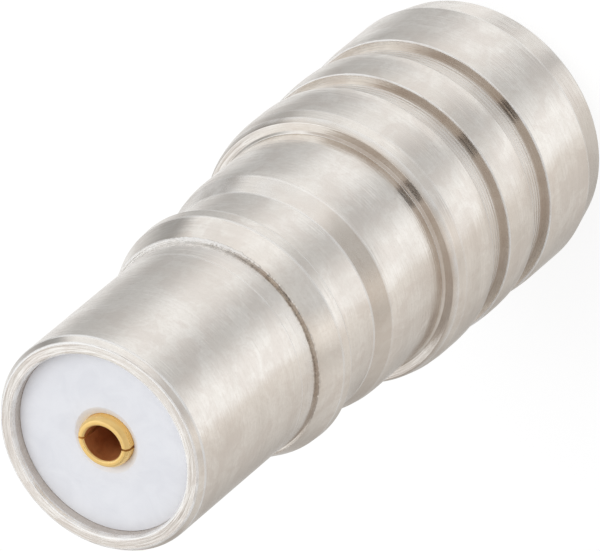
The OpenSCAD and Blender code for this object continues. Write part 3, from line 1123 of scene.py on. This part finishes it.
HIGH_PAPER = (
    (-150, 1.2, 3), (-92, 1.2, 3), (-82, 0.55, 2), (-20, 0.54, 2), (30, 0.54, 2), (72, 0.57, 2),
    (96, 0.52, 2), (130, 0.40, 2), (166, 0.36, 2), (176, 0.75, 1),
)
print("paper stops:", len(LOW_PAPER), "low,", len(LEVEL_PAPER), "level,", len(HIGH_PAPER), "high")


# %% Helper for the paper's ramps
def paper_ramp(tree, stops, turn):
    """A colour ramp over the whole compass, read at a turn from 0 to 1."""
    ramp = add(tree, "ShaderNodeValToRGB")
    elements = ramp.color_ramp.elements
    while len(elements) > 1:
        elements.remove(elements[-1])
    for k, (degrees, tone, paper) in enumerate(stops):
        element = elements[0] if k == 0 else elements.new(1.0)
        element.position = 0.5 + degrees / 360
        element.color = (*(tone * c for c in PAPERS[paper]), 1.0)
    tree.links.new(turn, ramp.inputs[0])
    return ramp.outputs["Color"]


print("a ramp goes once round the compass")

# %% Direction in the tent
tent_tone = bpy.data.node_groups.new("tent tone", "ShaderNodeTree")
tent_tone.interface.new_socket("Direction", in_out="INPUT", socket_type="NodeSocketVector")
tent_tone.interface.new_socket("Color", in_out="OUTPUT", socket_type="NodeSocketColor")
entry, leave = add(tent_tone, "NodeGroupInput"), add(tent_tone, "NodeGroupOutput")
ray = add(tent_tone, "ShaderNodeVectorMath", {"operation": "NORMALIZE"})
tent_tone.links.new(entry.outputs["Direction"], ray.inputs[0])
parts = add(tent_tone, "ShaderNodeSeparateXYZ")
tent_tone.links.new(ray.outputs[0], parts.inputs[0])
compass = math_node(tent_tone, "ARCTAN2", parts.outputs["Y"], parts.outputs["X"])
turn = math_node(tent_tone, "MULTIPLY_ADD", compass, -1 / math.tau, 0.5 + VIEW_AZIMUTH / 360)
turn = math_node(tent_tone, "FRACT", turn)
climb = math_node(tent_tone, "ARCSINE", parts.outputs["Z"])
print("tent directions:", len(tent_tone.nodes), "nodes")

# %% Paper by height
# Degrees of climb over which one paper gives way to the next.
LOW_TO_LEVEL = (-40, -22)
LEVEL_TO_HIGH = (8, 30)
HIGH_TO_PLAIN = (62, 74)
# A bright fold in the low paper: its top, its foot and its end on the compass.
FOLD_TOP = (-52, -62)
FOLD_FOOT = (-72, -66)
FOLD_END = (0.52, 0.44)


def climbing(span, smooth=False):
    """A mask that is 0 at the first climb of a span, in degrees, and 1 at the second."""
    low, high = (math.radians(degrees) for degrees in span)
    return ranged(tent_tone, climb, low, high, smooth=smooth)


papers_by_height = (LOW_PAPER, LEVEL_PAPER, HIGH_PAPER)
below, level, above = (paper_ramp(tent_tone, stops, turn) for stops in papers_by_height)
fold = math_node(tent_tone, "MULTIPLY", climbing(FOLD_TOP), climbing(FOLD_FOOT))
fold = math_node(tent_tone, "MULTIPLY", fold, ranged(tent_tone, turn, *FOLD_END))
paper = mixed(tent_tone, fold, below, PAPER_PLAIN)
paper = mixed(tent_tone, climbing(LOW_TO_LEVEL, smooth=True), paper, level)
paper = mixed(tent_tone, climbing(LEVEL_TO_HIGH, smooth=True), paper, above)
paper = mixed(tent_tone, climbing(HIGH_TO_PLAIN, smooth=True), paper, PAPER_PLAIN)
print("tent paper:", len(tent_tone.nodes), "nodes")

# %% The slot where the camera looks in
SLOT_SIDES = (-4.5, 17.0)
SLOT_ENDS = (44.5, 70.0)
SLOT_TONE = (0.03, 0.026, 0.025)

slot = 1.0
slot_spans = ((turn, SLOT_SIDES, 0.5, 1 / 360), (climb, SLOT_ENDS, 0.0, math.radians(1)))
for value, ends, offset, degree in slot_spans:
    low, high = (offset + end * degree for end in ends)
    after_low = ranged(tent_tone, value, low - degree, low + degree)
    before_high = ranged(tent_tone, value, high + degree, high - degree)
    between = math_node(tent_tone, "MULTIPLY", after_low, before_high)
    slot = math_node(tent_tone, "MULTIPLY", slot, between)
paper = mixed(tent_tone, slot, paper, SLOT_TONE)
tent_tone.links.new(paper, leave.inputs["Color"])
print("tent tone:", len(tent_tone.nodes), "nodes")

# %% [markdown]
# ## Floor, world and lamps
# To the camera the floor is white paper that keeps a soft shadow, and for other
# light it is plain pale paper. Mirror rays pass it and see the tent, because the
# paper under a real set-up curves up into the tent's walls. The lamps are large
# and soft; they are kept out of reflections, because the tent stands for them.

# %% Floor
floor_half = 0.6
floor_gap = 0.01 * MM
floor_mesh = bpy.data.meshes.new("paper_floor")
sheet = bmesh.new()
bmesh.ops.create_grid(sheet, x_segments=2, y_segments=2, size=floor_half)
sheet.to_mesh(floor_mesh)
sheet.free()
floor = bpy.data.objects.new("paper_floor", floor_mesh)
floor.location.z = cad_box[0][2] - floor_gap
bpy.context.collection.objects.link(floor)
floor.visible_glossy = False
floor.visible_transmission = False
print("floor", 2 * floor_half, "m across")

# %% Finish of the floor
SHADOW_CATCH = (0.25, 0.25, 0.25, 1.0)
PALE_PAPER = (0.8, 0.79, 0.78, 1.0)
WHITE = (1.0, 1.0, 1.0, 1.0)
FLOOR_GLOW = 0.82

paper_floor, tree, shader = finish("paper_floor_finish")
tree.nodes.remove(shader)
surface = tree.nodes["Material Output"].inputs["Surface"]
path = add(tree, "ShaderNodeLightPath")
pale = add(tree, "ShaderNodeBsdfDiffuse", Color=SHADOW_CATCH)
glow = add(tree, "ShaderNodeEmission", Color=WHITE, Strength=FLOOR_GLOW)
white_paper = add(tree, "ShaderNodeAddShader")
tree.links.new(pale.outputs[0], white_paper.inputs[0])
tree.links.new(glow.outputs[0], white_paper.inputs[1])
plain_paper = add(tree, "ShaderNodeBsdfDiffuse", Color=PALE_PAPER)
by_camera = add(tree, "ShaderNodeMixShader")
tree.links.new(path.outputs["Is Camera Ray"], by_camera.inputs[0])
tree.links.new(plain_paper.outputs[0], by_camera.inputs[1])
tree.links.new(white_paper.outputs[0], by_camera.inputs[2])
tree.links.new(by_camera.outputs[0], surface)
floor_mesh.materials.append(paper_floor)
print("floor finish:", len(tree.nodes), "nodes")

# %% World
SKY_FILL = (0.55, 0.55, 0.56)
scene = bpy.context.scene
scene.world = bpy.data.worlds.new("paper_tent")
scene.world.use_nodes = True
tree = scene.world.node_tree
tree.nodes.clear()
surface = add(tree, "ShaderNodeOutputWorld").inputs["Surface"]
path = add(tree, "ShaderNodeLightPath")
mirror = math_node(tree, "MAXIMUM", path.outputs["Is Glossy Ray"], path.outputs["Is Transmission Ray"])
coord = add(tree, "ShaderNodeTexCoord")
tent_node = placed(tree, tent_tone)
tree.links.new(coord.outputs["Generated"], tent_node.inputs["Direction"])
tone = mixed(tree, mirror, SKY_FILL, tent_node.outputs["Color"])
tone = mixed(tree, path.outputs["Is Camera Ray"], tone, WHITE[:3])
sky = add(tree, "ShaderNodeBackground", Strength=1.0)
tree.links.new(tone, sky.inputs["Color"])
tree.links.new(sky.outputs[0], surface)
scene.view_settings.view_transform = "Standard"
print("world:", len(tree.nodes), "nodes")

# %% Lamps
middle = Vector((0.0, 0.0, (cad_box[0][2] + cad_box[1][2]) / 2))


def soft_lamp(name, azimuth, elevation, distance, size, power):
    """A square area lamp aimed at the part, kept out of mirror reflections."""
    data = bpy.data.lights.new(name, "AREA")
    data.size = size
    data.energy = power
    lamp = bpy.data.objects.new(name, data)
    a, e = math.radians(azimuth), math.radians(elevation)
    back = Vector((math.cos(e) * math.cos(a), math.cos(e) * math.sin(a), math.sin(e)))
    lamp.location = middle + back * distance
    lamp.rotation_euler = (-back).to_track_quat("-Z", "Y").to_euler()
    lamp.visible_glossy = False
    bpy.context.collection.objects.link(lamp)
    print(name, "at", [round(c, 3) for c in lamp.location])


soft_lamp("key_panel", VIEW_AZIMUTH + 80, elevation=58, distance=0.32, size=0.26, power=0.36)
soft_lamp("fill_panel", VIEW_AZIMUTH - 80, elevation=50, distance=0.36, size=0.30, power=0.09)

# %% [markdown]
# ## The camera
# The part stands on its rear face and the picture shows it lying across the
# frame, so the camera is rolled. A long lens far away gives the almost parallel
# view of a product photograph.

# %% Camera
VIEW_ROLL = 130.1
VIEW_DISTANCE = 0.25646
aim = Vector((-0.020, 0.018, 7.668)) * MM
camera_data = bpy.data.cameras.new("product_camera")
camera_data.sensor_width = 36.0
camera_data.lens = 720.0
camera = bpy.data.objects.new("product_camera", camera_data)
bpy.context.collection.objects.link(camera)
tilt, spin = math.radians(VIEW_ELEVATION), math.radians(VIEW_AZIMUTH)
to_camera = Vector((math.cos(tilt) * math.cos(spin), math.cos(tilt) * math.sin(spin), math.sin(tilt)))
ahead = -to_camera
level_right = ahead.cross(Vector((0.0, 0.0, 1.0))).normalized()
level_up = level_right.cross(ahead)
roll = math.radians(VIEW_ROLL)
up = math.cos(roll) * level_up + math.sin(roll) * level_right
right = ahead.cross(up)
camera_turn = Matrix((right, up, -ahead)).transposed().to_4x4()
camera.matrix_world = Matrix.Translation(aim + to_camera * VIEW_DISTANCE) @ camera_turn
scene.camera = camera
print("camera at", [round(c / MM, 2) for c in camera.location], "mm")
